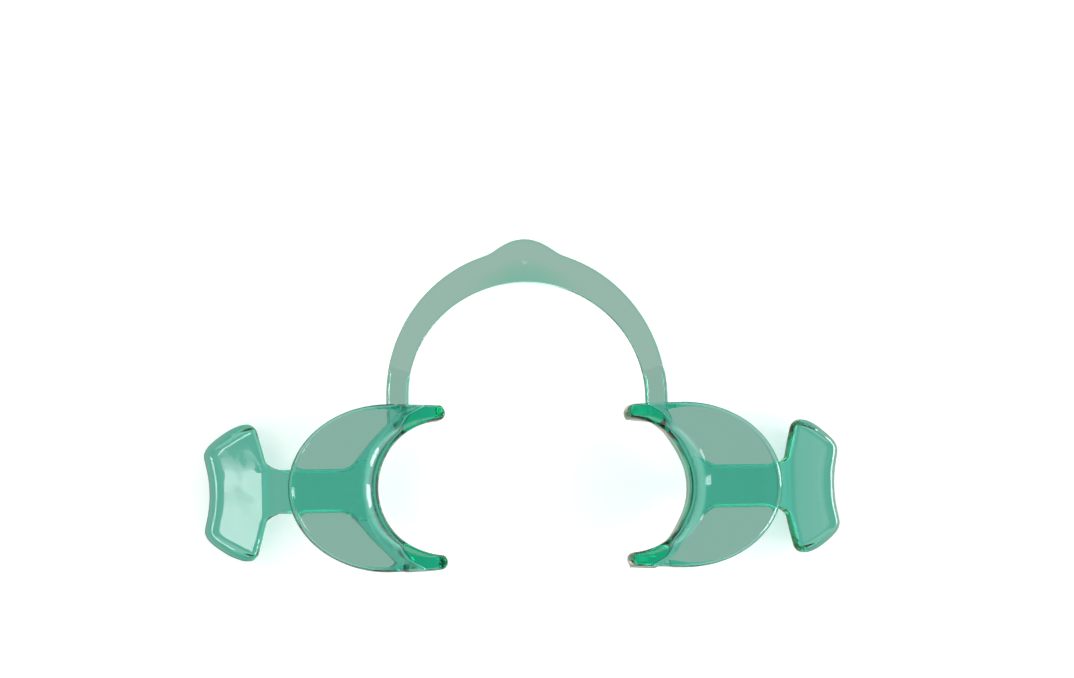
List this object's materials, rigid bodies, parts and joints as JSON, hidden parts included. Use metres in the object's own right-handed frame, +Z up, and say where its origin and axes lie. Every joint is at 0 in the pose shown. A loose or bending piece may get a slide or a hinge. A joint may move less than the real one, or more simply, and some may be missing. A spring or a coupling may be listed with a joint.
{
  "type": "cheek retractor",
  "caption": "Clear green dental cheek retractor: channelled lip saddles with fishtail finger handles, joined by a springy arched bow.",
  "frame": {"origin": "on the table, under the middle of the bounding box", "axes": "+X along the line of the handles to the right saddle, +Y to the crown of the bow, +Z up, towards the mouth side"},
  "size_m": [0.1286, 0.0662, 0.0163],
  "materials": {
    "clear_green": "transparent tinted moulded plastic, polished tool"
  },
  "bodies": {
    "crown": {"bow_crown": "clear_green"},
    "shoulder_right": {"bow_shoulder_right": "clear_green"},
    "leg_right": {"bow_leg_right": "clear_green"},
    "saddle_right": {"bow_root_right": "clear_green", "outer_flange_right": "clear_green", "throat_web_right": "clear_green", "inner_flange_right": "clear_green", "stem_right": "clear_green", "handle_right": "clear_green"},
    "shoulder_left": {"bow_shoulder_left": "clear_green"},
    "leg_left": {"bow_leg_left": "clear_green"},
    "saddle_left": {"bow_root_left": "clear_green", "outer_flange_left": "clear_green", "throat_web_left": "clear_green", "inner_flange_left": "clear_green", "stem_left": "clear_green", "handle_left": "clear_green"}
  },
  "joints": [
    {"name": "squeeze_right", "type": "hinge", "parent": "crown", "child": "shoulder_right", "pos_m": [0.01146, 0.02499, 0.0053], "axis": [0, 0, -1], "range_deg": [-1.5, 4.5], "stiffness_Nm_per_rad": 1.2},
    {"name": "shoulder_bend_right", "type": "hinge", "parent": "shoulder_right", "child": "leg_right", "pos_m": [0.02168, 0.01608, 0.0053], "axis": [0, 0, -1], "range_deg": [-1.73, 5.2], "stiffness_Nm_per_rad": 1.2},
    {"name": "leg_bend_right", "type": "hinge", "parent": "leg_right", "child": "saddle_right", "pos_m": [0.02583, 0.00551, 0.0053], "axis": [0, 0, -1], "range_deg": [-1.73, 5.2], "stiffness_Nm_per_rad": 1.2},
    {"name": "squeeze_left", "type": "hinge", "parent": "crown", "child": "shoulder_left", "pos_m": [-0.01146, 0.02499, 0.0053], "axis": [0, 0, 1], "range_deg": [-1.5, 4.5], "stiffness_Nm_per_rad": 1.2},
    {"name": "shoulder_bend_left", "type": "hinge", "parent": "shoulder_left", "child": "leg_left", "pos_m": [-0.02168, 0.01608, 0.0053], "axis": [0, 0, 1], "range_deg": [-1.73, 5.2], "stiffness_Nm_per_rad": 1.2},
    {"name": "leg_bend_left", "type": "hinge", "parent": "leg_left", "child": "saddle_left", "pos_m": [-0.02583, 0.00551, 0.0053], "axis": [0, 0, 1], "range_deg": [-1.73, 5.2], "stiffness_Nm_per_rad": 1.2}
  ],
  "couplings": [
    {"joint": "shoulder_bend_right", "follows": "squeeze_right", "ratio": 1.15},
    {"joint": "leg_bend_right", "follows": "squeeze_right", "ratio": 1.15},
    {"joint": "squeeze_left", "follows": "squeeze_right", "ratio": 1},
    {"joint": "shoulder_bend_left", "follows": "squeeze_right", "ratio": 1.15},
    {"joint": "leg_bend_left", "follows": "squeeze_right", "ratio": 1.15}
  ]
}
